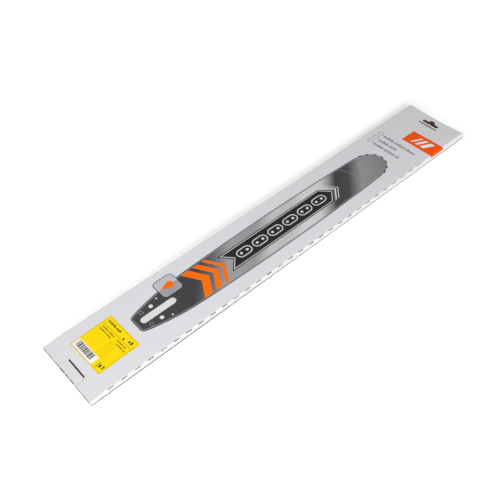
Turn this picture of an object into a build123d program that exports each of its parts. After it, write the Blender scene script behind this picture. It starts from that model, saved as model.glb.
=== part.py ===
from build123d import *
import os
from math import asin, atan2, cos, degrees, floor, sin, sqrt

# Flat sealed carton of thin corrugated board, folded from one blank round a long flat part.
# The pack lies on its back panel: +X runs to the hang end, +Y to the rear long side, +Z up.
# The origin is the middle of the back panel, and all sizes are millimetres.

# The wrap
pack_length = 740.0            # over the folded tongues at both ends
pack_width = 112.0             # over the two long side walls
board = 1.55                   # thickness of the corrugated board
contents_height = 4.6          # flat part inside the wrap
fold_radius = 2.0              # outside of the front panel's long folds
foot_radius = 0.8              # outside of the back panel's long folds
seam_offset = 24.0             # glued lap seam on the back panel, from the middle
seam_width = 0.7
seam_depth = 0.4

# Near end, pressed flat over its whole width
near_run = 28.0                # length over which the front panel comes down
near_lean = 3.0                # sideways slip of the front panel at the end
near_steps = 8                 # stretches that draw the slope

# Hang end, where the walls lean and the middle of the front panel is pulled down
crease_inset = 88.0            # scored line across the front panel, from the end
crease_width = 1.4
crease_depth = 0.2
crease_end_gap = 1.6           # from its ends to the long folds
lean_run = 182.0               # length before the crease over which the walls come to lean
far_lean = 3.1                 # sideways slip of the front panel from the crease to the end
dip_depth = 1.8                # how far the middle of the front panel comes down at the end
dip_half_width = 50.0          # half the width of the dip at the end
header_hollow_depth = 30.0     # between the two panels, open at the end beside the tongue

# Tongues of the back panel, folded over the ends and tucked into the front panel
tongue_width = 40.0
near_tongue_offset = -1.7      # from the middle of the back panel
far_tongue_offset = -0.2
tongue_proud = 0.4             # above the front panel, once pressed
tongue_fold = 0.6              # fold beyond the raw board edges
tongue_fold_radius = 1.3
tongue_cut_pitch = 11.0        # perforation along the fold
tongue_cut_length = 9.0
tongue_cuts = 3
slit_length = 36.0
slit_depth = 1.3
near_slit_inset = 13.8         # slit from the near end
near_slit_width = 2.2
far_slit_inset = 24.6          # slit from the hang end
far_slit_width = 1.3

# Hang slot punched through the header
hang_inset = 18.0              # middle of the slot's wings, from the end
hang_width = 31.0
hang_height = 6.0
hang_peak_width = 10.5
hang_peak_rise = 5.4           # peak beyond the wings, towards the end
hang_peak_radius = 3.6
hang_neck_radius = 1.0         # where the peak meets the wings

# Perforation along the front panel's long folds
perforation_pitch = 20.5
perforation_length = 9.0
cut_width = 0.8                # of every perforation cut
cut_depth = 0.8
perforation_near_inset = 31.0  # middle of the first cut, from the near end
perforation_far_inset = 114.0  # no cut lies nearer to the hang end

# Open flutes in the raw board edges at both ends
flute_pitch = 3.3
flute_base = 2.2
flute_depth = 1.2
liner = 0.28                   # paper above and below the flutes
flute_side_margin = 4.5        # closed by the folds at the long sides
flute_tongue_margin = 1.5      # kept clear beside each tongue

# Sticker on the front panel
label_size = 64.9
label_thickness = 0.15
label_gap = 0.6                # from the slope's end to the sticker's near side
label_offset = 2.9             # its middle, from the middle of the back panel
label_skew = 1.2               # degrees off square

# Worked out from the sizes above
near_end = -pack_length / 2
far_end = pack_length / 2
near_edge = near_end + tongue_fold
far_edge = far_end - tongue_fold
half_width = pack_width / 2
pack_height = 2 * board + contents_height
pressed_height = 2 * board
header_height = sqrt(pack_height**2 - far_lean**2)
dipped_height = header_height - dip_depth
crease_x = far_end - crease_inset
lean_x = crease_x - lean_run
near_slit_x = near_end + near_slit_inset
far_slit_x = far_end - far_slit_inset
hang_x = far_end - hang_inset
above = pack_height + board
slot_parting = 2 * board       # height within the header's hollow


def near_share(x):
    """How far the front panel has come up at x: 0 at the near edge, 1 where the slope ends."""
    t = min(max((x - near_edge) / near_run, 0), 1)
    return t * t * (3 - 2 * t)


def lean_share(x):
    """How far the walls lean at x: 0 before the lean starts, 1 from the crease on."""
    return min(max((x - lean_x) / lean_run, 0), 1)


def panel_height(x):
    """Height of the front panel's outer face, beside the dip in the header."""
    risen = pressed_height + (pack_height - pressed_height) * near_share(x)
    return risen - (pack_height - header_height) * lean_share(x)


def panel_slip(x):
    """Sideways slip of the front panel towards the rear side."""
    return near_lean * (1 - near_share(x)) + far_lean * lean_share(x)


def wrap_corners(x):
    """The wrap's four corners at x, before its folds are rounded."""
    slip = panel_slip(x)
    height = panel_height(x)
    return [(-half_width, 0), (half_width, 0), (half_width + slip, height), (-half_width + slip, height)]


# Dip in the header: a round trough whose lowest line falls from the crease to the end
dip_length = far_edge - crease_x
dip_slope = atan2(dip_depth, dip_length)
dip_radius = (dip_half_width**2 + dip_depth**2) / (2 * dip_depth)
far_slit_height = dipped_height + (far_edge - far_slit_x) * dip_depth / dip_length
dip_line = Plane(
    origin=(far_edge, far_tongue_offset, dipped_height),
    x_dir=(0, -1, 0),
    z_dir=(-cos(dip_slope), 0, sin(dip_slope)),
)


def header_hollow(start):
    """The empty space between the header's two panels, from a place near the end inwards."""
    with BuildPart() as hollow:
        with BuildSketch(Plane.YZ.offset(start)):
            Polygon(*wrap_corners(far_edge), align=None)
            offset(amount=-board)
            with Locations((far_tongue_offset, dipped_height + dip_radius)):
                Circle(dip_radius + board, mode=Mode.SUBTRACT)
        extrude(amount=-header_hollow_depth)
    return hollow.part


def perforation_places():
    """Where the cuts lie on both long folds, each square to its fold."""
    fold_inset = fold_radius * (1 - sqrt(0.5))
    room = pack_length - perforation_near_inset - perforation_far_inset
    places = []
    for index in range(floor(room / perforation_pitch) + 1):
        x = near_end + perforation_near_inset + index * perforation_pitch
        for side in (-1, 1):
            y = side * (half_width - fold_inset) + panel_slip(x)
            places.append(Location((x, y, panel_height(x) - fold_inset), (-45 * side, 0, 0)))
    return places


def flute_row(inner, outer, height):
    """Flutes of a straight board edge between two places, point up and point down by turns."""
    half_base = flute_base / 2
    half_rise = board / 2 - liner
    count = floor(abs(outer - inner) / flute_pitch)
    with Locations(((inner + outer) / 2, height)):
        with GridLocations(flute_pitch, 0, count, 1):
            Polygon((-half_base, -half_rise), (half_base, -half_rise), (0, half_rise), align=None)
        with GridLocations(flute_pitch, 0, count - 1, 1):
            Polygon((-half_base, half_rise), (0, -half_rise), (half_base, half_rise), align=None)


def flute_arc(side, radius, first_angle, count):
    """Flutes of the board edge that bends with the dip, to one side of its lowest point."""
    half_base = flute_base / 2
    half_rise = board / 2 - liner
    step = degrees(flute_pitch / radius)
    for index in range(2 * count - 1):
        angle = first_angle + index * step / 2
        tip = half_rise if index % 2 == 0 else -half_rise
        with PolarLocations(radius, 1, start_angle=-90 + side * angle):
            Polygon((tip, -half_base), (tip, half_base), (-tip, 0), align=None)


# Bar that presses the dip into the front panel, from past the end to past the crease
with BuildPart() as dip:
    with BuildSketch(dip_line.offset(-dip_length)):
        with Locations((0, dip_radius)):
            Circle(dip_radius)
    extrude(amount=3 * dip_length)

# Tongue at the hang end: a strip from the back panel up round the end and back along the dip
with BuildPart() as far_tongue:
    with BuildSketch(Plane.XZ.offset(-far_tongue_offset)) as far_profile:
        with BuildLine():
            Polyline(
                (far_slit_x, 0),
                (far_end, 0),
                (far_end, dipped_height + tongue_proud),
                (far_slit_x, far_slit_height + tongue_proud),
                close=True,
            )
        make_face()
        fillet(far_profile.vertices().group_by(Axis.X)[-1], tongue_fold_radius)
    extrude(amount=tongue_width / 2, both=True)
    add(header_hollow(far_end - board), mode=Mode.SUBTRACT)

# Outline of the hang slot about its middle: two round-ended wings and a peak towards the end
with BuildSketch() as hang_slot:
    SlotOverall(hang_width, hang_height, rotation=90)
    with Locations((hang_height / 2 + hang_peak_rise, 0)):
        Rectangle(
            hang_height / 2 + hang_peak_rise,
            hang_peak_width,
            align=(Align.MAX, Align.CENTER),
        )
    fillet(hang_slot.vertices().group_by(Axis.X)[-2], hang_neck_radius)
    fillet(hang_slot.vertices().group_by(Axis.X)[-1], hang_peak_radius)

with BuildPart() as carton:
    # Folded wrap, drawn section by section where its form changes
    slope_stations = [near_edge + near_run * step / near_steps for step in range(near_steps + 1)]
    for x in slope_stations + [lean_x, crease_x, far_edge]:
        with BuildSketch(Plane.YZ.offset(x)) as section:
            Polygon(*wrap_corners(x), align=None)
            pressed_share = panel_height(x) / pack_height
            fillet(section.vertices().group_by(Axis.Y)[0], foot_radius * pressed_share)
            fillet(section.vertices().group_by(Axis.Y)[-1], fold_radius * pressed_share)
    loft(ruled=True)

    # Dip in the header's front panel, and the hollow behind it
    add(dip.part, mode=Mode.SUBTRACT)
    add(header_hollow(far_edge), mode=Mode.SUBTRACT)

    # Open flutes at the near end, in both boards and to both sides of the tongue
    flute_inner = tongue_width / 2 + flute_tongue_margin
    flute_outer = half_width - flute_side_margin
    with BuildSketch(Plane.YZ.offset(near_edge)):
        for side in (-1, 1):
            inner = near_tongue_offset + side * flute_inner
            flute_row(inner, side * flute_outer, board / 2)
            flute_row(inner, side * flute_outer + near_lean, 3 * board / 2)
    extrude(amount=flute_depth, mode=Mode.SUBTRACT)

    # Open flutes at the hang end, straight in the back panel and bent in the front panel
    bend_radius = dip_radius + board / 2
    bend_start = degrees(asin((flute_inner + flute_pitch / 2) / bend_radius))
    bend_room = dip_half_width - flute_side_margin - flute_inner
    with BuildSketch(Plane.YZ.offset(far_edge)):
        for side in (-1, 1):
            flute_row(far_tongue_offset + side * flute_inner, side * flute_outer, board / 2)
            with Locations((far_tongue_offset, dipped_height + dip_radius)):
                flute_arc(side, bend_radius, bend_start, floor(bend_room / flute_pitch))
    extrude(amount=-flute_depth, mode=Mode.SUBTRACT)

    # Tongue at the near end, along the slope of the front panel
    tongue_stations = [x for x in slope_stations[1:] if x < near_slit_x] + [near_slit_x]
    tongue_top = [(x, panel_height(x) + tongue_proud) for x in tongue_stations]
    tongue_head = (near_end, pressed_height + tongue_proud)
    with BuildSketch(Plane.XZ.offset(-near_tongue_offset)) as near_tongue:
        with BuildLine():
            Polyline((near_slit_x, 0), (near_end, 0), tongue_head, *tongue_top, close=True)
        make_face()
        fillet(near_tongue.vertices().group_by(Axis.X)[0], tongue_fold_radius)
    extrude(amount=tongue_width / 2, both=True)
    add(far_tongue.part)

    # Slits that the tongues are tucked into
    with Locations((near_slit_x, near_tongue_offset, panel_height(near_slit_x) - slit_depth)):
        Box(
            near_slit_width,
            slit_length,
            above,
            align=(Align.MIN, Align.CENTER, Align.MIN),
            mode=Mode.SUBTRACT,
        )
    with Locations((far_slit_x, far_tongue_offset, far_slit_height - slit_depth)):
        Box(
            far_slit_width,
            slit_length,
            above,
            align=(Align.MAX, Align.CENTER, Align.MIN),
            mode=Mode.SUBTRACT,
        )

    # Hang slot: in the back panel it lies as far aside as the front panel has slipped
    for base, depth, slip in ((0, slot_parting, -far_lean), (slot_parting, above, 0)):
        with BuildSketch(Plane.XY.offset(base)):
            with Locations((hang_x, far_tongue_offset + slip)):
                add(hang_slot.sketch)
        extrude(amount=depth, mode=Mode.SUBTRACT)

    # Perforation along the front panel's long folds
    with Locations(*perforation_places()):
        Box(perforation_length, cut_width, 2 * cut_depth, mode=Mode.SUBTRACT)

    # Perforation along the folds of the tongues
    head_inset = tongue_fold_radius * (1 - sqrt(0.5))
    near_head = Location(
        (near_end + head_inset, near_tongue_offset, pressed_height + tongue_proud - head_inset),
        (0, -45, 0),
    )
    far_head = Location(
        (far_end - head_inset, far_tongue_offset, dipped_height + tongue_proud - head_inset),
        (0, 45, 0),
    )
    with Locations(near_head, far_head):
        with GridLocations(0, tongue_cut_pitch, 1, tongue_cuts):
            Box(cut_width, tongue_cut_length, 2 * cut_depth, mode=Mode.SUBTRACT)

    # Scored line across the header
    with BuildSketch(Plane.XZ.offset(-far_lean)):
        with Locations((crease_x, header_height)):
            Polygon(
                (-crease_width / 2, 0),
                (0, -crease_depth),
                (crease_width / 2, 0),
                (0, crease_depth),
                align=None,
            )
    extrude(amount=half_width - fold_radius - crease_end_gap, both=True, mode=Mode.SUBTRACT)

    # Glued lap seam along the back panel
    with Locations((0, seam_offset, 0)):
        Box(
            pack_length - 2 * near_run,
            seam_width,
            seam_depth,
            align=(Align.CENTER, Align.CENTER, Align.MIN),
            mode=Mode.SUBTRACT,
        )

# Sticker, square and slightly skew, flat on the front panel
with BuildPart() as label:
    with BuildSketch(Plane.XY.offset(pack_height)):
        with Locations((near_edge + near_run + label_gap + label_size / 2, label_offset)):
            Rectangle(label_size, label_size, rotation=label_skew)
    extrude(amount=label_thickness)

os.makedirs("parts", exist_ok=True)
carton.part.label = "carton"
export_step(carton.part, "parts/carton.step")
label.part.label = "label"
export_step(label.part, "parts/label.step")
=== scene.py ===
"""Looks of the flat corrugated pack: printed board, raw edges, sticker, studio floor, light and camera."""
from math import acos, cos, pi, radians, sin, sqrt, tau

import bpy
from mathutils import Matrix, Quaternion, Vector
from mathutils.bvhtree import BVHTree
from mathutils.geometry import delaunay_2d_cdt


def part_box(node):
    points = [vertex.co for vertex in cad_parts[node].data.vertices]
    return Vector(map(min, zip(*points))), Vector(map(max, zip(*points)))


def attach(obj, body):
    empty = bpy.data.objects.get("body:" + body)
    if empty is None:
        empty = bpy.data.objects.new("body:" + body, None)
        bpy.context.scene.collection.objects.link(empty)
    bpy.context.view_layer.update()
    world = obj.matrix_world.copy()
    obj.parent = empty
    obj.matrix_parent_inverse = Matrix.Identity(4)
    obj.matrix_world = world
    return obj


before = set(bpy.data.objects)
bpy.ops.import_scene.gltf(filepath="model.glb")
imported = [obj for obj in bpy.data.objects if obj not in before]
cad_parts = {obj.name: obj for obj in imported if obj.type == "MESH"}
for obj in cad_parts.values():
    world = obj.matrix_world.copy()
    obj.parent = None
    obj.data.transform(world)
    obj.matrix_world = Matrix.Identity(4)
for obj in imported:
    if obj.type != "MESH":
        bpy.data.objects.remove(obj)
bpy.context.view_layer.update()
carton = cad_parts["carton"]
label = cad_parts["label"]
pack_low, pack_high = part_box("carton")
label_low, label_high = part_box("label")

# Print is laid out in millimetres: along the pack from its near end, and across from its middle.
MM = 0.001
INK = 0.06                   # thickness of one layer of print
SINK = 0.01                  # how far the lowest print reaches into the board
PRINT_STEP = 6.0             # longest side of a print's faces
FINE_STEP = 0.4              # the same where the panel bends
WITH_HOLES = 2               # the triangulation's mode in which loops inside other loops are holes
MERGE = 1e-4                 # distance under which its points become one
RIVET_POINTS = 20            # round the outline of a small circle
DOT_POINTS = 16
CAST_HEIGHT = 1000.0         # from where print is laid down on a surface

# Bar figure
BAR_START = 108.0
BAR_END = 596.0
BAR_MIDDLE = -0.8
BAR_HALF_WIDTH = 33.0
BAR_WIDEST = 370.0
BAR_CROWN = 6.0              # how much narrower it is at the nose end, before the nose is rounded
BAR_POINTS = 160             # along each side of its outline
TAIL_HALF_WIDTH = 13.0
TAIL_RUN = 87.0
TAIL_POWER = 0.6             # a lower one widens the tail sooner
TAIL_CORNER = 3.5
NOSE_RUN = 46.0
NOSE_POWER = 2.8             # a higher one makes the nose blunter
RIM = 1.2
RAIL_INSET = 1.6
RAIL_WIDTH = 0.9
SLOT_START = 116.5
SLOT_END = 174.0
SLOT_HALF_WIDTH = 5.3
SLOT_CORNER = 0.999 * SLOT_HALF_WIDTH  # just short of round ends, so that no two points meet
ADJUSTER_ALONG = 141.5
ADJUSTER_ACROSS = 12.6
ADJUSTER_RADIUS = 3.1
OIL_HOLE_ALONG = 155.0
OIL_HOLE_ACROSS = 18.5
OIL_HOLE_RADIUS = 1.4
TAIL_MARK_ALONG = 125.0
TAIL_MARK_ACROSS = 12.2
TAIL_MARK_SIZE = 6.0
TAIL_MARK_CORNER = 2.0
NOSE_TEETH = 7
TOOTH_PITCH = 12.5
TOOTH_RISE = 1.6
TOOTH_SHARE = 0.36           # of the pitch that a tooth takes up
TOOTH_STEP = 0.8             # between the points of the toothed outline
WHEEL_ALONG = 561.0
WHEEL_RADIUS = 13.5
WHEEL_RIVETS = 6
HUB_RADIUS = 6.0
JOINT_ALONG = 526.0
JOINT_POINT = 7.0
JOINT_HALF_HEIGHT = 25.0
NOSE_RIVET_RADIUS = 1.8
FINE_LINE = 0.6

# Grey tones of the ground steel, by the share of the bar's length
STEEL_TONES = (
    (0.0, 66), (0.21, 62), (0.27, 104), (0.33, 162), (0.44, 158), (0.5, 202), (0.58, 198),
    (0.64, 220), (0.71, 216), (0.78, 62), (0.84, 68), (0.9, 150), (1.0, 134),
)
STEEL_BLUE = 2               # how much more blue there is in each tone
STEEL_SLANT = 0.94           # how far the tones shift along the bar for each step across it

# Design on the bar
BAND_START = 262.0
BAND_END = 466.0
BAND_HALF_HEIGHT = 17.5
BAND_POINT = 16.0
BAND_LINE_INSET = 1.6
BAND_LINE_WIDTH = 1.1
CHEVRON_STARTS = (204.0, 224.5, 241.0)
CHEVRON_WIDTHS = (13.5, 9.5, 6.0)
CHEVRON_POINT = 16.0
CHEVRON_HALF_HEIGHT = 27.0
AFTER_STARTS = (470.0, 476.5)
AFTER_WIDTHS = (2.8, 1.6)
LINK_COUNT = 6
LINK_PITCH = 30.4
LINK_SHIFT = 3.0             # from the middle of the band, clear of its notch
LINK_LENGTH = 26.5
LINK_HEIGHT = 15.5
LINK_CORNER = 0.499 * LINK_HEIGHT  # just short of round ends
LINK_LINE = 1.6
LINK_RIVET_RADIUS = 2.2

# Badge with an oil drop, beside the slot
BADGE_ALONG = 180.0
BADGE_ACROSS = 24.5
BADGE_SIZE = 34.0
BADGE_CORNER = 7.0
BADGE_RIM = 1.1
DROP_SHIFT = 3.0             # of the round part from the badge's middle
DROP_RADIUS = 6.2
DROP_TIP = 14.5

# Blocks in place of words
LETTER_WIDTHS = (2.1, 1.3, 2.4, 1.7, 1.9, 1.2, 2.5, 1.6)
LETTER_GAP = 0.75
LOW_LETTER = 0.66            # height of a low letter's block to a tall one's
TALL_EVERY = 3               # letters from one tall block to the next
ODD_EVERY = 7                # letters from one tall block out of turn to the next
ODD_FIRST = 4
WORD_LETTERS = 8
WORD_GAP = 3                 # gap after a word to one after a letter

# Header: three rows of blocks with rings, and a field of colour
ROW_ALONGS = (611.7, 624.4, 637.2)
ROW_ENDS = (-18.5, -4.5, -31.5)
ROW_START = 31.5
ROW_HEIGHT = 5.4
RING_ACROSS = 40.0
RING_SHIFT = 1.3             # from the middle of the row, towards the hang end
RING_LENGTH = 8.6
RING_WIDTH = 11.0
RING_CORNER = 0.499 * RING_LENGTH  # just short of round ends
RING_LINE = 0.9
FIELD_START = 655.5
FIELD_END = 687.0
FIELD_REAR = 7.0
FIELD_FRONT = -54.4
STRIPE_MIDDLES = (-33.5, -22.0, -12.5)
STRIPE_WIDTHS = (8.0, 5.5, 3.2)
STRIPE_SLANT = 9.0
STRIPE_INSET = 6.5

# Brown strips beside the header's slit and the cuts of the near tongue's fold and the front fold: torn
# paper, and painted shade that widens the cuts' dark lines
SLIT_SHADE_LIP = (713.2, -18.1, 714.05, 17.7)
TONGUE_SHADE_LIP = (0.73, 1.1)     # from the near end
TONGUE_CUTS = (-12.7, -1.7, 9.3)
CUT_FIRST = 51.5             # middle of the first torn cut of the front fold
CUT_PITCH = 20.5
CUT_LENGTH = 9.0
CUT_COUNT = 21
CUT_SHADE_LIPS = (0.2, 0.1, 0.33, 0.1, 0.2, 0.3, 0.28, 0.27, 0.2, 0.2)
CUT_SEARCH = 2.0             # where the search for a cut starts, in from the front fold
CUT_STEP = 0.05
CUT_DROP = 0.5               # a fall of the board within one step that counts as a cut

# Sticker print, from the sticker's near and front corner, before its skew
LABEL_SKEW = radians(1.2)
LABEL_BORDER_INSET = 0.8
LABEL_BORDER = 0.6
LABEL_LINE = 0.4
LABEL_BOX = (1.6, 20.2, 14.6, 63.3)
LABEL_BARS = (4.3, 26.4, 13.6, 59.6)
BAR_WIDTHS = (0.8, 1.4, 0.6, 2.0, 0.9, 0.7)
BAR_GAPS = (0.6, 1.0, 0.5, 0.8)
LABEL_DIVIDER = 50.9
LABEL_DIVIDER_INSET = 2.4
LABEL_RULES = (29.3, 24.1, 19.6)
LABEL_RULE_ENDS = (15.3, 42.1)

# Rows of blocks on the sticker: baseline, start, end, height and scale of the letters
LABEL_ROWS = (
    (56.6, 59.0, 34.0, 3.4, 0.75),
    (46.6, 58.5, 32.0, 1.9, 0.6),
    (42.2, 58.5, 36.0, 1.9, 0.6),
    (46.6, 26.0, 8.0, 1.9, 0.6),
    (42.2, 22.0, 5.0, 1.9, 0.6),
)
# Plain marks on the sticker: a dot, by its middle and radius, and rectangles, by two corners
LABEL_DOT = (54.3, 22.0, 1.5)
LABEL_MARKS = (
    (55.2, 7.0, 60.0, 9.6),
    (55.2, 11.0, 58.4, 13.6),
    (4.0, 12.6, 13.0, 13.6),
    (6.0, 8.2, 11.0, 10.8),
    (7.0, 3.6, 12.5, 5.6),
)

# Values between which most of a noise lies
NOISE_SPREAD = (0.3, 0.7)

# Printed board. A facing is one part of a face's normal, from -1 to 1.
PRINT_FACING = (0.9, 0.94)   # upward facings between which the grey print sets in
PRINT_LEAN = 0.2             # how much further it reaches over the front fold than over the rear one
CRACK_FACING = (0.15, 0.4)   # sideways facings between which its cracks set in
FLUTE_PITCH = 3.3
FLUTE_SHARE = 0.25           # height of the flutes in the board's relief to that of its fibre

# Brown on the board: painted shade along the lower long folds for a dark line where they stand over the
# floor, partly wear, and paper rubbed bare at the near end's cut edge
RUB_AND_SHADE_RAGGED = 0.4             # how much the line of wear and painted shade wanders
RUB_AND_SHADE_FADE = 0.25
FOOT_SHADE_FACING = (0.3, 0.6)      # sideways facings between which the painted shade sets in on the lower folds
FOOT_SHADE_NEAR_RUN = (6.0, 12.0)   # where the painted shade starts there, from the near end
FOOT_SHADE_FAR_RUN = (280.0, 420.0)  # where it ends there
CUT_LINE = 0.6               # from the near end to its cut edges

# Raw board: faces crowded by other board, upright ones in the panels, and cut ends
LOOK_COUNT = 40              # directions in which a face looks for other board
GOLDEN_ANGLE = pi * (3 - sqrt(5))  # from one of them to the next
LOOK_REACH = 8.0
LOOK_LIFT = 0.02
CROWDED = 10                 # directions that meet board, above which a face is raw
UPRIGHT = 0.3                # upward or downward facing under which a face is upright
SQUARE_ON = 0.95             # lengthwise facing over which a face is a cut end
END_INSET = 0.3              # from the pack's ends, whose outer faces are printed
FOLD_WIDTH = 6.0             # from the pack's sides and ends to where the folds begin
NEAR_SLIT = (13.5, 16.5)     # between which the near slit lies

# Floor, in millimetres
FLOOR_SIZE = 8000.0
FLOOR_LEVEL = -1.0           # the long folds stand a little off it
FLOOR_PAPER = (0.9, 0.92)    # how bright its paper is for the light it throws back
# Brightness for the camera, by the share of the pack's length: in the open, painted light and shade that
# even out the lamps' fall-off and set how dark the shadow shows, and at the long folds, a painted contact
# shadow
FLOOR_SEEN = ((0.0, 1.27), (0.42, 1.21), (1.0, 1.43))
CONTACT_SHADOW_SEEN = ((0.0, 0.5), (0.04, 0.27), (0.28, 0.2), (0.42, 0.36), (0.6, 0.46), (0.9, 0.56))
CONTACT_SHADOW_TINT = (1.0, 0.95, 0.9)
CONTACT_SHADOW_REACH = 1.2
CONTACT_END_INSET = 1.1      # the cut edges at the ends stand back from the tongues
# Painted shadow under the pack, dark brown, seen through its gaps and the hang slot
UNDER_SHADOW_TONE = (0.07, 0.05, 0.04, 1.0)
UNDER_SHADOW_EDGE = (3.0, 8.0)      # where that sets in under the pack, in from its sides
RIM_SHADE = 0.085            # how much darker the outer rim of the shadow is for the camera
RIM_START = (6.0, 13.0)      # where that sets in, out from the pack
RIM_END = (14.0, 30.0)       # where it fades out
GLOW_REACH = (24.0, 140.0)   # where the floor turns to plain white
BLACK = (0.0, 0.0, 0.0, 1.0)
WHITE = (1.0, 1.0, 1.0, 1.0)

# Lamps, in metres and watts, and the even surround
TOP_PLACE = Vector((-0.68, -0.26, 1.42))
TOP_SIZE = (1.5, 1.5)
TOP_POWER = 18.8
FRONT_PLACE = Vector((-0.08, -1.3, 0.75))
FRONT_SIZE = (1.2, 0.5)
FRONT_POWER = 11.3
WORLD_COLOUR = (0.97, 0.98, 1.0, 1.0)
WORLD_STRENGTH = 0.16

# Camera of the photograph, placed in metres
CAMERA_PLACE = Vector((-0.4896, -0.5148, 0.7489))
CAMERA_TARGET = Vector((-0.0590, 0.0009, 0.0))
CAMERA_ROLL = radians(-2.67)
CAMERA_LENS = 49.88
CAMERA_SENSOR = 36.0


# Colours and lengths
def srgb(red, green, blue):
    """Linear colour from the 0 to 255 values of a picture."""
    def channel(value):
        share = value / 255
        return share / 12.92 if share <= 0.04045 else ((share + 0.055) / 1.055) ** 2.4
    return (channel(red), channel(green), channel(blue), 1.0)


def tone(level, tint=(1.0, 1.0, 1.0)):
    """Linear colour of a brightness, with a share of it for each channel."""
    return (*[level * share for share in tint], 1.0)


def metres(lengths):
    return [length * MM for length in lengths]


# Node helpers
class Nodes:
    """A node tree, to which nodes are added one call at a time."""

    def __init__(self, tree):
        self.tree = tree

    def set(self, node, inputs):
        for name, value in inputs.items():
            socket = node.inputs[name]
            if isinstance(value, bpy.types.NodeSocket):
                self.tree.links.new(value, socket)
            else:
                socket.default_value = value

    def add(self, kind, inputs=None, **settings):
        node = self.tree.nodes.new(kind)
        for name, value in settings.items():
            setattr(node, name, value)
        self.set(node, inputs or {})
        return node

    def math(self, operation, first, second=0.0):
        return self.add("ShaderNodeMath", {0: first, 1: second}, operation=operation).outputs[0]

    def seen(self):
        """One for rays that show something to the camera, in a mirror or through glass too."""
        path = self.add("ShaderNodeLightPath")
        seen = path.outputs["Is Camera Ray"]
        for kind in ("Is Glossy Ray", "Is Transmission Ray"):
            seen = self.math("MAXIMUM", seen, path.outputs[kind])
        return seen


class Shader(Nodes):
    """The nodes of a new material."""

    def __init__(self, name):
        self.material = bpy.data.materials.new(name)
        self.material.use_nodes = True
        super().__init__(self.material.node_tree)
        self.surface = self.tree.nodes["Principled BSDF"]

    def ramp(self, value, low, high, to_low=0.0, to_high=1.0):
        """Smooth step from one level to another, as a value passes between two limits."""
        inputs = {"Value": value, "From Min": low, "From Max": high, "To Min": to_low, "To Max": to_high}
        return self.add("ShaderNodeMapRange", inputs, interpolation_type="SMOOTHSTEP").outputs["Result"]

    def fall(self, value, low, high):
        """Smooth step down, from one to zero."""
        return self.ramp(value, low, high, to_low=1.0, to_high=0.0)

    def spread(self, noise, least, most):
        """A measure that a noise moves between two limits."""
        return self.ramp(noise, *NOISE_SPREAD, least, most)

    def share(self, value, low, high):
        """Even share of the way from one limit to another."""
        inputs = {"Value": value, "From Min": low, "From Max": high}
        return self.add("ShaderNodeMapRange", inputs).outputs["Result"]

    def mix(self, share, first, second):
        inputs = {"Fac": share, "Color1": first, "Color2": second}
        return self.add("ShaderNodeMixRGB", inputs).outputs["Color"]

    def tones(self, value, stops):
        """Colour that runs through the stops, each a place and a colour."""
        node = self.add("ShaderNodeValToRGB", {"Fac": value})
        elements = node.color_ramp.elements
        while len(elements) < len(stops):
            elements.new(0.5)
        for element, (position, colour) in zip(elements, stops):
            element.position = position
            element.color = colour
        return node.outputs["Color"]

    def place(self):
        """The point on the piece in the pack's own frame."""
        return self.add("ShaderNodeTexCoord").outputs["Object"]

    def place_axes(self):
        return self.add("ShaderNodeSeparateXYZ", {"Vector": self.place()}).outputs

    def facing_axes(self):
        """The parts of the face's normal."""
        geometry = self.add("ShaderNodeNewGeometry")
        return self.add("ShaderNodeSeparateXYZ", {"Vector": geometry.outputs["Normal"]}).outputs

    def noise(self, scale, detail=4.0, stretch=(1.0, 1.0, 1.0)):
        """Noise of so many grains a metre, drawn out along an axis whose stretch is small."""
        mapping = self.add("ShaderNodeMapping", {"Vector": self.place(), "Scale": stretch})
        inputs = {"Vector": mapping.outputs["Vector"], "Scale": scale, "Detail": detail}
        return self.add("ShaderNodeTexNoise", inputs).outputs["Fac"]

    def bump(self, height, strength, depth):
        """Relief of a depth in millimetres."""
        inputs = {"Height": height, "Strength": strength, "Distance": depth * MM}
        self.set(self.surface, {"Normal": self.add("ShaderNodeBump", inputs).outputs["Normal"]})


# Materials
def rubbed_and_foot_shade(shader, axes, sideways):
    """Share of brown: painted shade along the lower long folds, partly wear, and paper rubbed bare at the
    near end's cut edge.
    """
    wander = shader.noise(220.0, detail=5.0, stretch=(0.2, 1.0, 1.0))
    ragged = shader.math("MULTIPLY", wander, RUB_AND_SHADE_RAGGED * MM)
    # Painted shade, partly wear: brown along the lower long folds
    height = shader.math("SUBTRACT", axes["Z"], ragged)
    low = shader.fall(height, 0.0, RUB_AND_SHADE_FADE * MM)
    starts = [pack_low.x + along for along in metres(FOOT_SHADE_NEAR_RUN)]
    ends = [pack_low.x + along for along in metres(FOOT_SHADE_FAR_RUN)]
    low = shader.math("MULTIPLY", low, shader.ramp(axes["X"], *starts))
    low = shader.math("MULTIPLY", low, shader.fall(axes["X"], *ends))
    low = shader.math("MULTIPLY", low, shader.ramp(sideways, *FOOT_SHADE_FACING))
    # Paper rubbed bare at the near end's cut edge
    edge = pack_low.x + CUT_LINE * MM
    inside = shader.math("SUBTRACT", axes["X"], ragged)
    cut = shader.fall(inside, edge, edge + RUB_AND_SHADE_FADE * MM)
    patches = shader.ramp(shader.noise(90.0, detail=2.0), 0.45, 0.65, to_high=0.8)
    return shader.math("MAXIMUM", low, shader.math("MULTIPLY", cut, patches))


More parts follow.
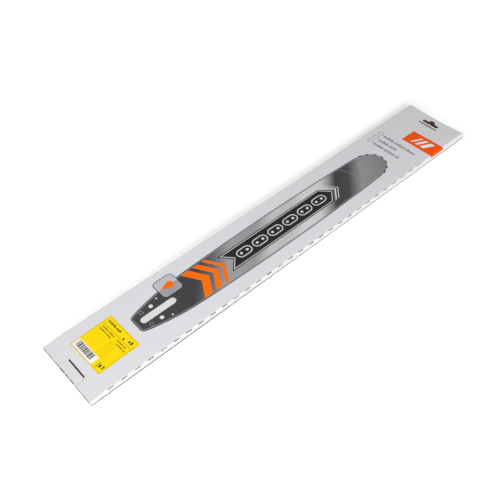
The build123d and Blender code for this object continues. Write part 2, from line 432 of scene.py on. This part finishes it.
def printed_board():
    """Coated board: grey print on the front, white on the sides and back, ink cracked along the folds."""
    shader = Shader("printed_board")
    axes = shader.place_axes()
    facing = shader.facing_axes()
    mottle = shader.noise(11.0, detail=3.0)
    fibre = shader.noise(650.0, detail=5.0, stretch=(0.35, 1.0, 1.0))
    grey = shader.mix(mottle, srgb(219, 219, 222), srgb(224, 224, 227))
    white = shader.mix(mottle, srgb(235, 234, 230), srgb(240, 239, 236))
    rearward = shader.math("MULTIPLY", facing["Y"], PRINT_LEAN)
    front = shader.ramp(shader.math("SUBTRACT", facing["Z"], rearward), *PRINT_FACING)
    colour = shader.mix(front, white, grey)
    sideways = shader.math("ABSOLUTE", facing["Y"])
    fold = shader.ramp(sideways, *CRACK_FACING)
    crazing = shader.noise(260.0, detail=6.0, stretch=(0.3, 1.0, 1.0))
    cracks = shader.ramp(crazing, 0.5, 0.58)
    worn = shader.math("MULTIPLY", shader.math("MULTIPLY", fold, cracks), front)
    colour = shader.mix(worn, colour, srgb(243, 242, 238))
    colour = shader.mix(shader.ramp(fibre, 0.35, 0.75, to_high=0.05), colour, srgb(150, 148, 146))
    brown = shader.mix(fibre, srgb(104, 78, 58), srgb(150, 124, 100))
    # Brown: painted shade along the lower long folds, partly wear, and bare paper at the near end's cut
    # edge
    colour = shader.mix(rubbed_and_foot_shade(shader, axes, sideways), colour, brown)
    flutes = shader.math("SINE", shader.math("MULTIPLY", axes["Y"], tau / (FLUTE_PITCH * MM)))
    height = shader.math("ADD", shader.math("MULTIPLY", flutes, FLUTE_SHARE), fibre)
    shader.bump(height, strength=0.18, depth=0.12)
    shader.set(shader.surface, {
        "Base Color": colour,
        "Roughness": shader.spread(mottle, 0.44, 0.54),
        "Specular IOR Level": 0.35,
    })
    return shader.material


def raw_board(name, dark, light):
    """Brown kraft paper of the cut edges and of everything inside the board."""
    shader = Shader(name)
    fibre = shader.noise(900.0, detail=6.0, stretch=(0.4, 1.0, 1.6))
    patches = shader.noise(120.0, detail=3.0)
    colour = shader.mix(fibre, dark, light)
    colour = shader.mix(shader.ramp(patches, 0.45, 0.7, to_high=0.45), colour, dark)
    shader.bump(fibre, strength=0.5, depth=0.2)
    shader.set(shader.surface, {
        "Base Color": colour,
        "Roughness": shader.spread(fibre, 0.82, 0.95),
        "Specular IOR Level": 0.15,
    })
    return shader.material


def sticker_paper():
    """Coated yellow paper."""
    shader = Shader("sticker_paper")
    mottle = shader.noise(35.0)
    fibre = shader.noise(1400.0)
    colour = shader.mix(mottle, srgb(251, 218, 0), srgb(255, 223, 0))
    colour = shader.mix(shader.ramp(fibre, 0.4, 0.75, to_high=0.08), colour, srgb(220, 184, 0))
    shader.bump(fibre, strength=0.12, depth=0.06)
    shader.set(shader.surface, {
        "Base Color": colour,
        "Roughness": shader.spread(mottle, 0.42, 0.52),
        "Specular IOR Level": 0.12,
    })
    return shader.material


def ink(name, dark, light):
    """Flat printing ink, slightly uneven in tone and sheen."""
    shader = Shader(name)
    mottle = shader.noise(60.0)
    grain = shader.noise(1800.0, detail=3.0)
    colour = shader.mix(mottle, dark, light)
    colour = shader.mix(shader.ramp(grain, 0.45, 0.8, to_high=0.12), colour, light)
    shader.bump(grain, strength=0.08, depth=0.05)
    shader.set(shader.surface, {
        "Base Color": colour,
        "Roughness": shader.spread(mottle, 0.42, 0.52),
        "Specular IOR Level": 0.12,
    })
    return shader.material


def steel_print():
    """Print of ground steel: slanting dark and light sheens with fine lines along the bar."""
    shader = Shader("steel_print")
    axes = shader.place_axes()
    sheen = shader.math("SUBTRACT", axes["X"], shader.math("MULTIPLY", axes["Y"], STEEL_SLANT))
    bar_low = pack_low.x + BAR_START * MM
    share = shader.share(sheen, bar_low, bar_low + (BAR_END - BAR_START) * MM)
    stops = [(place, srgb(level, level, level + STEEL_BLUE)) for place, level in STEEL_TONES]
    lines = shader.noise(2400.0, detail=3.0, stretch=(0.012, 1.0, 1.0))
    darkened = shader.ramp(lines, 0.35, 0.7, to_high=0.16)
    shader.bump(lines, strength=0.05, depth=0.05)
    shader.set(shader.surface, {
        "Base Color": shader.mix(darkened, shader.tones(share, stops), srgb(34, 34, 36)),
        "Roughness": shader.spread(lines, 0.36, 0.44),
        "Specular IOR Level": 0.14,
    })
    return shader.material


def beyond_pack(shader, axes):
    """How far out from the pack's sides a point of the floor is, and its distance from the pack."""
    reaches = {"X": pack_high.x - CONTACT_END_INSET * MM, "Y": -pack_low.y}
    beyonds = []
    squares = []
    for axis, reach in reaches.items():
        beyond = shader.math("SUBTRACT", shader.math("ABSOLUTE", axes[axis]), reach)
        clear_of = shader.math("MAXIMUM", beyond, 0.0)
        beyonds.append(beyond)
        squares.append(shader.math("MULTIPLY", clear_of, clear_of))
    return shader.math("MAXIMUM", *beyonds), shader.math("SQRT", shader.math("ADD", *squares))


def studio_floor():
    """White floor that keeps the pack's shadow, evened out along the pack with painted light, with a
    painted contact shadow at the pack's edges, painted shadow under it and painted shade on the shadow's
    rim, and plain white away from the pack.
    """
    shader = Shader("studio_floor")
    axes = shader.place_axes()
    beyond, distance = beyond_pack(shader, axes)
    along = shader.share(axes["X"], pack_low.x, pack_high.x)
    # Painted shade on the outer rim of the shadow
    rim = shader.ramp(distance, *metres(RIM_START), to_high=RIM_SHADE)
    rim = shader.math("MULTIPLY", rim, shader.fall(distance, *metres(RIM_END)))
    # Painted light and shade along the pack that even out the lamps' fall-off
    colour = shader.tones(along, [(place, tone(level)) for place, level in FLOOR_SEEN])
    colour = shader.mix(rim, colour, BLACK)
    # Painted contact shadow at the pack's edges, and painted shadow under it
    contact_shadow = shader.tones(along, [(place, tone(level, CONTACT_SHADOW_TINT)) for place, level in CONTACT_SHADOW_SEEN])
    edge, deep = metres(UNDER_SHADOW_EDGE)
    contact_shadow = shader.mix(shader.ramp(beyond, -deep, -edge), UNDER_SHADOW_TONE, contact_shadow)
    colour = shader.mix(shader.ramp(distance, 0.0, CONTACT_SHADOW_REACH * MM), contact_shadow, colour)
    bright = shader.add("ShaderNodeBsdfDiffuse", {"Color": colour})
    paper = shader.mix(shader.noise(300.0, detail=3.0), *[tone(level) for level in FLOOR_PAPER])
    pale = shader.add("ShaderNodeBsdfDiffuse", {"Color": paper})
    seen = shader.seen()
    ground = shader.add("ShaderNodeMixShader", {0: seen, 1: pale.outputs[0], 2: bright.outputs[0]})
    glow = shader.math("MULTIPLY", shader.ramp(distance, *metres(GLOW_REACH)), seen)
    light = shader.add("ShaderNodeEmission", {"Strength": glow})
    total = shader.add("ShaderNodeAddShader", {0: ground.outputs[0], 1: light.outputs[0]})
    shader.set(shader.tree.nodes["Material Output"], {"Surface": total.outputs[0]})
    shader.tree.nodes.remove(shader.surface)
    return shader.material


# Board faces
def surface_tree(piece):
    """Search tree of a piece's faces."""
    corners = [vertex.co for vertex in piece.data.vertices]
    return BVHTree.FromPolygons(corners, [face.vertices for face in piece.data.polygons])


def outlook(normal):
    """Directions spread over the half-space that a face looks into."""
    side = normal.orthogonal().normalized()
    other = normal.cross(side)
    for index in range(LOOK_COUNT):
        rise = (index + 0.5) / LOOK_COUNT
        turn = index * GOLDEN_ANGLE
        flat = sqrt(1 - rise * rise)
        yield normal * rise + (side * cos(turn) + other * sin(turn)) * flat


def is_raw(face):
    """Whether a face of the carton is a cut edge or lies inside a cut, a slit or the header."""
    start = face.center + face.normal * (LOOK_LIFT * MM)
    met = [board_tree.ray_cast(start, way, LOOK_REACH * MM)[0] for way in outlook(face.normal)]
    crowded = sum(place is not None for place in met) > CROWDED
    on_panel = abs(face.center.y) < pack_high.y - FOLD_WIDTH * MM
    cut = on_panel and abs(face.normal.z) < UPRIGHT
    end = abs(face.normal.x) > SQUARE_ON
    between_ends = abs(face.center.x) < pack_high.x - END_INSET * MM
    return crowded or (between_ends and (cut or end))


def dress_board():
    """Raw board on cut edges, darkened with painted shade inside the near slit and the folds' cuts, and
    print elsewhere.
    """
    boards = (
        printed_board(),
        raw_board("raw_board", srgb(70, 46, 31), srgb(138, 101, 71)),
        # Painted shade: raw board darkened inside the folds' cuts and, browner, inside the near slit
        raw_board("cut_painted_shade", srgb(24, 19, 16), srgb(44, 36, 30)),
        raw_board("slit_painted_shade", srgb(56, 29, 13), srgb(106, 65, 35)),
    )
    printed, raw_edge, shaded_cut, shaded_slit = range(len(boards))
    carton.data.materials.clear()
    for board in boards:
        carton.data.materials.append(board)
    fold_side = pack_high.y - FOLD_WIDTH * MM
    fold_end = pack_high.x - FOLD_WIDTH * MM
    slit_low, slit_high = [pack_low.x + along for along in metres(NEAR_SLIT)]
    for face in carton.data.polygons:
        middle = face.center
        if not is_raw(face):
            face.material_index = printed
        # Faces inside the folds' cuts and the near slit take the board darkened with painted shade
        elif abs(middle.y) > fold_side and abs(middle.x) < fold_end:
            face.material_index = shaded_cut
        elif slit_low < middle.x < slit_high:
            face.material_index = shaded_slit
        else:
            face.material_index = raw_edge


# Outlines, as loops of points in millimetres
def rectangle(low_along, low_across, high_along, high_across):
    return [
        (low_along, low_across),
        (high_along, low_across),
        (high_along, high_across),
        (low_along, high_across),
    ]


def circle(along, across, radius, count=32):
    turns = [tau * index / count for index in range(count)]
    return [(along + radius * cos(turn), across + radius * sin(turn)) for turn in turns]


def rounded(along, across, length, width, radius, count=8):
    """Rectangle with round corners, about its middle."""
    loop = []
    for quarter in range(4):
        corner_along = along + (length / 2 - radius) * (1, -1, -1, 1)[quarter]
        corner_across = across + (width / 2 - radius) * (1, 1, -1, -1)[quarter]
        for index in range(count + 1):
            turn = (quarter + index / count) * pi / 2
            loop.append((corner_along + radius * cos(turn), corner_across + radius * sin(turn)))
    return loop


def inset(loop, distance):
    """The loop, which runs anticlockwise, moved inwards by a distance."""
    moved = []
    for index, (along, across) in enumerate(loop):
        before = Vector(loop[index - 1])
        here = Vector((along, across))
        after = Vector(loop[(index + 1) % len(loop)])
        first = (here - before).normalized()
        second = (after - here).normalized()
        first_in = Vector((-first.y, first.x))
        second_in = Vector((-second.y, second.x))
        shift = (first_in + second_in) * (distance / (1 + first_in.dot(second_in)))
        moved.append((along + shift.x, across + shift.y))
    return moved


def ring(loop, width):
    """The two loops of a line that follows a loop on its inner side."""
    return [loop, inset(loop, width)]


def subdivided(loop, step):
    """The loop with its long sides cut into equal pieces."""
    points = []
    for index, start in enumerate(loop):
        start = Vector(start)
        end = Vector(loop[(index + 1) % len(loop)])
        pieces = max(1, round((end - start).length / step))
        points += [start.lerp(end, piece / pieces) for piece in range(pieces)]
    return points


def bar_half_width(along):
    """Half the width of the pictured bar: a tail that widens, a crowned run and a round nose."""
    crown = (along - BAR_WIDEST) / (BAR_END - BAR_WIDEST)
    width = BAR_HALF_WIDTH - BAR_CROWN * crown**2
    tail = min((along - BAR_START) / TAIL_RUN, 1)
    width = TAIL_HALF_WIDTH + (width - TAIL_HALF_WIDTH) * sin(pi / 2 * tail) ** TAIL_POWER
    corner = min((along - BAR_START) / TAIL_CORNER, 1)
    width -= TAIL_CORNER * (1 - sqrt(1 - (1 - corner) ** 2))
    nose = max((along - BAR_END + NOSE_RUN) / NOSE_RUN, 0)
    return width * sqrt(1 - nose**NOSE_POWER)


def bar_loop():
    """Outline of the pictured bar, anticlockwise from the nose."""
    shares = [0.5 - 0.5 * cos(pi * index / BAR_POINTS) for index in range(BAR_POINTS + 1)]
    alongs = [BAR_END - (BAR_END - BAR_START) * share for share in shares]
    rear = [(along, BAR_MIDDLE + bar_half_width(along)) for along in alongs]
    front = [(along, BAR_MIDDLE - bar_half_width(along)) for along in reversed(alongs)]
    return rear + front[:-1]


def toothed(loop):
    """The bar's outline, fine enough round the nose, with the tips of the nose wheel's teeth."""
    loop = subdivided(loop, TOOTH_STEP)
    runs = [0.0]
    for index in range(1, len(loop)):
        runs.append(runs[-1] + (loop[index] - loop[index - 1]).length)
    total = runs[-1] + (loop[0] - loop[-1]).length
    outward = inset(loop, -TOOTH_RISE)
    shaped = []
    for point, out, run in zip(loop, outward, runs):
        from_tip = min(run, total - run) / TOOTH_PITCH
        on_tooth = abs(from_tip - round(from_tip)) < TOOTH_SHARE / 2
        shaped.append(out if on_tooth and from_tip < NOSE_TEETH / 2 else point)
    return shaped


def chevron(start, width, half_height, point):
    """Arrow-shaped stripe across the bar, pointing to its nose."""
    middle = BAR_MIDDLE
    return [
        (start, middle - half_height),
        (start + width, middle - half_height),
        (start + width + point, middle),
        (start + width, middle + half_height),
        (start, middle + half_height),
        (start + point, middle),
    ]


def drop(along, across, radius, tip, count=28):
    """Round drop with a point towards the near end."""
    half = acos(radius / tip)
    turns = [pi - half - (tau - 2 * half) * index / count for index in range(count + 1)]
    bowl = [(along + radius * cos(turn), across + radius * sin(turn)) for turn in reversed(turns)]
    return bowl + [(along - tip, across)]


def blocks(baseline, start, end, height, scale=1.0):
    """A row of blocks from the rear to the front, tall and low in turn, in place of words."""
    loops = []
    rear = start
    index = 0
    while rear > end:
        width = LETTER_WIDTHS[index % len(LETTER_WIDTHS)] * scale
        tall = index % TALL_EVERY == 0 or index % ODD_EVERY == ODD_FIRST
        rise = height if tall else height * LOW_LETTER
        loops.append(rectangle(baseline, rear - width, baseline + rise, rear))
        last = index % WORD_LETTERS == WORD_LETTERS - 1
        rear -= width + LETTER_GAP * scale * (WORD_GAP if last else 1)
        index += 1
    return loops


# Films of print
def ground_under(tree, along, across):
    """Place and normal of the surface under a point of the layout."""
    above = Vector((pack_low.x + along * MM, across * MM, CAST_HEIGHT * MM))
    return tree.ray_cast(above, Vector((0, 0, -1)))[:2]


def triangulated(loops, step):
    """Flat points and triangles that fill the loops. Loops inside other loops are holes in them."""
    points = []
    outlines = []
    for loop in loops:
        outline = subdivided(loop, step)
        outlines.append(list(range(len(points), len(points) + len(outline))))
        points += outline
    low = Vector((min(point.x for point in points), min(point.y for point in points)))
    high = Vector((max(point.x for point in points), max(point.y for point in points)))
    for column in range(1, int((high.x - low.x) / step) + 1):
        for row in range(1, int((high.y - low.y) / step) + 1):
            points.append(Vector((low.x + column * step, low.y + row * step)))
    flat, _, triangles, *_ = delaunay_2d_cdt(points, [], outlines, WITH_HOLES, MERGE)
    used = sorted({corner for triangle in triangles for corner in triangle})
    number = {corner: index for index, corner in enumerate(used)}
    triangles = [[number[corner] for corner in triangle] for triangle in triangles]
    return [flat[corner] for corner in used], triangles


def shell(triangles, count):
    """Faces of a closed film: the top, the underside, whose points follow the top's, and the edge."""
    sides = {}  # keeps their order, as a set would not
    for triangle in triangles:
        for index in range(3):
            side = (triangle[index], triangle[(index + 1) % 3])
            if side[::-1] in sides:
                del sides[side[::-1]]
            else:
                sides[side] = True
    underside = [[corner + count for corner in reversed(triangle)] for triangle in triangles]
    edge = [[second, first, first + count, second + count] for first, second in sides]
    return triangles + underside + edge


def film(name, loops, material, tree, level=0, step=PRINT_STEP, turned=0.0, about=(0.0, 0.0)):
    """Closed film of ink on a surface, over so many other layers, turned about a point of the layout."""
    spots, triangles = triangulated(loops, step)
    top = (level + 1) * INK * MM
    bottom = (level * INK if level else -SINK) * MM
    turn = Quaternion((0, 0, 1), turned)
    pivot = Vector((about[0], about[1], 0))
    grounds = []
    for spot in spots:
        placed = turn @ (spot.to_3d() - pivot) + pivot
        grounds.append(ground_under(tree, placed.x, placed.y))
    corners = [place + normal * top for place, normal in grounds]
    corners += [place + normal * bottom for place, normal in grounds]
    mesh = bpy.data.meshes.new(name)
    mesh.from_pydata(corners, [], shell(triangles, len(spots)))
    mesh.materials.append(material)
    piece = bpy.data.objects.new(name, mesh)
    bpy.context.scene.collection.objects.link(piece)
    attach(piece, "root")
    return piece


def on_board(name, loops, material, level=0, step=PRINT_STEP):
    """Print on the front panel."""
    film(name, loops, material, board_tree, level, step)


def on_label(name, loops, material, level=0):
    """Print on the sticker, laid out from its near and front corner."""
    middle = ((label_low + label_high) / 2 - Vector((pack_low.x, 0, 0))) / MM
    shift = Vector((middle.x - label_size / 2, middle.y - label_size / 2))
    placed = [[(along + shift.x, across + shift.y) for along, across in loop] for loop in loops]
    piece = film(name, placed, material, label_tree, level, PRINT_STEP, LABEL_SKEW, middle.xy)


def print_bar(inks):
    """The pictured bar: rim with nose teeth, ground body with slot and holes, rails, marks and rivets."""
    outline = bar_loop()
    slot_middle = (SLOT_START + SLOT_END) / 2
    slot_length = SLOT_END - SLOT_START
    slot = rounded(slot_middle, BAR_MIDDLE, slot_length, 2 * SLOT_HALF_WIDTH, SLOT_CORNER)
    holes = [slot[::-1]]
    for side in (-1, 1):
        adjuster = circle(ADJUSTER_ALONG, BAR_MIDDLE + side * ADJUSTER_ACROSS, ADJUSTER_RADIUS)
        oil_hole = circle(OIL_HOLE_ALONG, BAR_MIDDLE + side * OIL_HOLE_ACROSS, OIL_HOLE_RADIUS)
        holes += [adjuster[::-1], oil_hole[::-1]]
    wider_holes = [inset(hole, RIM / 2) for hole in holes]
    on_board("bar_rim", [toothed(outline)] + holes, inks["dark"])
    on_board("bar_body", [inset(outline, RIM)] + wider_holes, inks["steel"], level=1)
    on_board("bar_rail", ring(inset(outline, RAIL_INSET), RAIL_WIDTH), inks["mid"], level=2)
    marks = []
    for side in (-1, 1):
        across = BAR_MIDDLE + side * TAIL_MARK_ACROSS
        mark = rounded(TAIL_MARK_ALONG, across, TAIL_MARK_SIZE, TAIL_MARK_SIZE, TAIL_MARK_CORNER)
        marks += ring(mark, FINE_LINE)
    marks.append(chevron(JOINT_ALONG, FINE_LINE, JOINT_HALF_HEIGHT, JOINT_POINT))
    marks += ring(circle(WHEEL_ALONG, BAR_MIDDLE, HUB_RADIUS), FINE_LINE)
    for along, across in circle(WHEEL_ALONG, BAR_MIDDLE, WHEEL_RADIUS, WHEEL_RIVETS):
        marks += ring(circle(along, across, NOSE_RIVET_RADIUS, RIVET_POINTS), FINE_LINE)
    on_board("bar_marks", marks, inks["mid"], level=2)


def print_design(inks):
    """Arrow stripes, and a dark band with a row of links."""
    stripes = [
        chevron(start, width, CHEVRON_HALF_HEIGHT, CHEVRON_POINT)
        for start, width in zip(CHEVRON_STARTS, CHEVRON_WIDTHS)
    ]
    on_board("arrow_stripes", stripes, inks["orange"], level=3)
    band = chevron(BAND_START, BAND_END - BAND_START, BAND_HALF_HEIGHT, BAND_POINT)
    on_board("dark_band", [band], inks["black"], level=3)
    on_board("band_line", ring(inset(band, BAND_LINE_INSET), BAND_LINE_WIDTH), inks["pale"], level=4)
    after = [
        chevron(start, width, BAND_HALF_HEIGHT, BAND_POINT)
        for start, width in zip(AFTER_STARTS, AFTER_WIDTHS)
    ]
    on_board("after_stripes", after, inks["pale"], level=3)
    links = []
    band_middle = (BAND_START + BAND_POINT + BAND_END) / 2
    first = band_middle + LINK_SHIFT - (LINK_COUNT - 1) / 2 * LINK_PITCH
    for index in range(LINK_COUNT):
        middle = first + index * LINK_PITCH
        links += ring(rounded(middle, BAR_MIDDLE, LINK_LENGTH, LINK_HEIGHT, LINK_CORNER), LINK_LINE)
        for side in (-1, 1):
            along = middle + side * (LINK_LENGTH - LINK_HEIGHT) / 2
            links.append(circle(along, BAR_MIDDLE, LINK_RIVET_RADIUS, RIVET_POINTS))
    on_board("chain_links", links, inks["pale"], level=4)


def print_badge(inks):
    """Square badge in two greys with an oil drop."""
    plate = rounded(BADGE_ALONG, BADGE_ACROSS, BADGE_SIZE, BADGE_SIZE, BADGE_CORNER)
    face = inset(plate, BADGE_RIM)
    half = [(along, min(across, BADGE_ACROSS)) for along, across in face]
    oil = drop(BADGE_ALONG + DROP_SHIFT, BADGE_ACROSS, DROP_RADIUS, DROP_TIP)
    on_board("badge_rim", [plate], inks["dark"], level=3)
    on_board("badge_face", [face], inks["silver"], level=4)
    on_board("badge_half", [half], inks["mid"], level=5)
    on_board("badge_drop", [oil], inks["orange"], level=6)


def print_header(inks):
    """Rows of blocks with rings, and the field of colour with slanting stripes."""
    marks = []
    for along, end in zip(ROW_ALONGS, ROW_ENDS):
        marks += blocks(along, ROW_START, end, ROW_HEIGHT)
        middle = along + ROW_HEIGHT / 2 + RING_SHIFT
        marks += ring(rounded(middle, RING_ACROSS, RING_LENGTH, RING_WIDTH, RING_CORNER), RING_LINE)
    on_board("header_rows", marks, inks["grey"])
    field = rectangle(FIELD_START, FIELD_FRONT, FIELD_END, FIELD_REAR)
    on_board("colour_field", [field], inks["red_orange"], step=FINE_STEP)
    low = FIELD_START + STRIPE_INSET
    high = FIELD_END - STRIPE_INSET
    stripes = []
    for middle, width in zip(STRIPE_MIDDLES, STRIPE_WIDTHS):
        near = middle + STRIPE_SLANT / 2
        far = middle - STRIPE_SLANT / 2
        half = width / 2
        stripes.append([(low, near - half), (high, far - half), (high, far + half), (low, near + half)])
    on_board("field_stripes", stripes, inks["white"], level=1, step=2 * FINE_STEP)


def print_label(inks):
    """Border, white box with bars, rules, rows of blocks and a few plain marks on the sticker."""
    low = LABEL_BORDER_INSET
    high = label_size - LABEL_BORDER_INSET
    lines = ring(rectangle(low, low, high, high), LABEL_BORDER)
    start, end = LABEL_RULE_ENDS
    for across in LABEL_RULES:
        lines.append(rectangle(start, across - LABEL_LINE / 2, end, across + LABEL_LINE / 2))
    on_label("label_lines", lines, inks["ochre"])
    on_label("label_box", [rectangle(*LABEL_BOX)], inks["white"])
    low_along, low_across, high_along, high_across = LABEL_BARS
    bars = []
    place = low_across
    while place < high_across:
        width = BAR_WIDTHS[len(bars) % len(BAR_WIDTHS)]
        gap = BAR_GAPS[len(bars) % len(BAR_GAPS)]
        bars.append(rectangle(low_along, place, high_along, place + width))
        place += width + gap
    on_label("label_bars", bars, inks["black"], level=1)
    divider_end = label_size - LABEL_DIVIDER_INSET
    words = [rectangle(LABEL_DIVIDER, LABEL_DIVIDER_INSET, LABEL_DIVIDER + LABEL_LINE, divider_end)]
    for row in LABEL_ROWS:
        words += blocks(*row)
    words.append(circle(*LABEL_DOT, DOT_POINTS))
    words += [rectangle(*mark) for mark in LABEL_MARKS]
    on_label("label_words", words, inks["black"])


# Torn paper and painted shade beside the cuts
def cut_edge(along):
    """The panel's side of a cut in the front fold: the last place before the board drops."""
    across = pack_low.y / MM + CUT_SEARCH
    before = here = 0.0
    while here > before - CUT_DROP:
        before = here
        across -= CUT_STEP
        here = ground_under(board_tree, along, across)[0].z / MM
    return across + CUT_STEP


def tear_and_shade_cuts():
    """Lips of brown paper beside the header's slit and the cuts of the near tongue and the front fold:
    torn paper, and painted shade that widens the cuts.
    """
    half = CUT_LENGTH / 2
    near, far = TONGUE_SHADE_LIP
    torn_and_shaded = [rectangle(*SLIT_SHADE_LIP)]
    for middle in TONGUE_CUTS:
        torn_and_shaded.append(rectangle(near, middle - half, far, middle + half))
    for index in range(CUT_COUNT):
        middle = CUT_FIRST + index * CUT_PITCH
        edge = cut_edge(middle)
        lip = CUT_SHADE_LIPS[index % len(CUT_SHADE_LIPS)]
        torn_and_shaded.append(rectangle(middle - half, edge, middle + half, edge + lip))
    # Brown strips, partly torn paper and partly painted shade beside the cuts
    on_board("torn_and_shaded_lips", torn_and_shaded, carton.data.materials["raw_board"])


# Stage
def lay_floor():
    half = FLOOR_SIZE / 2 * MM
    level = FLOOR_LEVEL * MM
    corners = [(along, across, level) for along, across in rectangle(-half, -half, half, half)]
    mesh = bpy.data.meshes.new("floor")
    mesh.from_pydata(corners, [], [[0, 1, 2, 3]])
    mesh.materials.append(studio_floor())
    floor = bpy.data.objects.new("floor", mesh)
    bpy.context.scene.collection.objects.link(floor)


def hang_light(name, place, target, size, power):
    """Soft rectangular lamp."""
    data = bpy.data.lights.new(name, "AREA")
    data.shape = "RECTANGLE"
    data.size, data.size_y = size
    data.energy = power
    lamp = bpy.data.objects.new(name, data)
    lamp.location = place
    lamp.rotation_mode = "QUATERNION"
    lamp.rotation_quaternion = (target - place).to_track_quat("-Z", "Y")
    bpy.context.scene.collection.objects.link(lamp)


def light_studio():
    """Soft box over the near end, facing straight down, and a low one in front of the pack."""
    below = TOP_PLACE * Vector((1, 1, 0))
    hang_light("top_light", TOP_PLACE, below, TOP_SIZE, TOP_POWER)
    hang_light("front_light", FRONT_PLACE, Vector((0, 0, 0)), FRONT_SIZE, FRONT_POWER)


def surround_studio():
    """Dim even light from all round, which shows as plain white."""
    world = bpy.data.worlds.new("surround")
    world.use_nodes = True
    nodes = Nodes(world.node_tree)
    dim = nodes.tree.nodes["Background"]
    nodes.set(dim, {"Color": WORLD_COLOUR, "Strength": WORLD_STRENGTH})
    white = nodes.add("ShaderNodeBackground", {"Color": WHITE})
    choice = nodes.add("ShaderNodeMixShader", {0: nodes.seen(), 1: dim.outputs[0], 2: white.outputs[0]})
    nodes.set(nodes.tree.nodes["World Output"], {"Surface": choice.outputs[0]})
    bpy.context.scene.world = world


def point_camera():
    data = bpy.data.cameras.new("camera")
    data.sensor_fit = "HORIZONTAL"
    data.sensor_width = CAMERA_SENSOR
    data.lens = CAMERA_LENS
    camera = bpy.data.objects.new("camera", data)
    camera.location = CAMERA_PLACE
    camera.rotation_mode = "QUATERNION"
    level = (CAMERA_TARGET - CAMERA_PLACE).to_track_quat("-Z", "Y")
    camera.rotation_quaternion = level @ Quaternion((0, 0, 1), CAMERA_ROLL)
    bpy.context.scene.collection.objects.link(camera)
    bpy.context.scene.camera = camera


# Pack
board_tree = surface_tree(carton)
label_tree = surface_tree(label)
label_size = (label_high - label_low).x / MM / (cos(LABEL_SKEW) + sin(LABEL_SKEW))
dress_board()
label.data.materials.clear()
label.data.materials.append(sticker_paper())

# Inks, each with a dark and a light tone
inks = {
    "dark": ink("dark_ink", srgb(44, 44, 47), srgb(54, 54, 57)),
    "black": ink("black_ink", srgb(24, 24, 25), srgb(32, 32, 33)),
    "grey": ink("grey_ink", srgb(116, 117, 121), srgb(130, 131, 135)),
    "mid": ink("mid_grey_ink", srgb(150, 151, 154), srgb(164, 165, 168)),
    "silver": ink("silver_ink", srgb(186, 187, 190), srgb(198, 199, 202)),
    "pale": ink("pale_ink", srgb(212, 212, 214), srgb(224, 224, 226)),
    "white": ink("white_ink", srgb(240, 240, 240), srgb(248, 248, 248)),
    "orange": ink("orange_ink", srgb(246, 108, 0), srgb(252, 116, 2)),
    "red_orange": ink("red_orange_ink", srgb(244, 84, 2), srgb(250, 92, 4)),
    "ochre": ink("ochre_ink", srgb(160, 141, 10), srgb(178, 156, 14)),
    "steel": steel_print(),
}
print_bar(inks)
print_design(inks)
print_badge(inks)
print_header(inks)
print_label(inks)
tear_and_shade_cuts()

# Studio and camera
lay_floor()
light_studio()
surround_studio()
point_camera()
bpy.context.scene.view_settings.view_transform = "Standard"
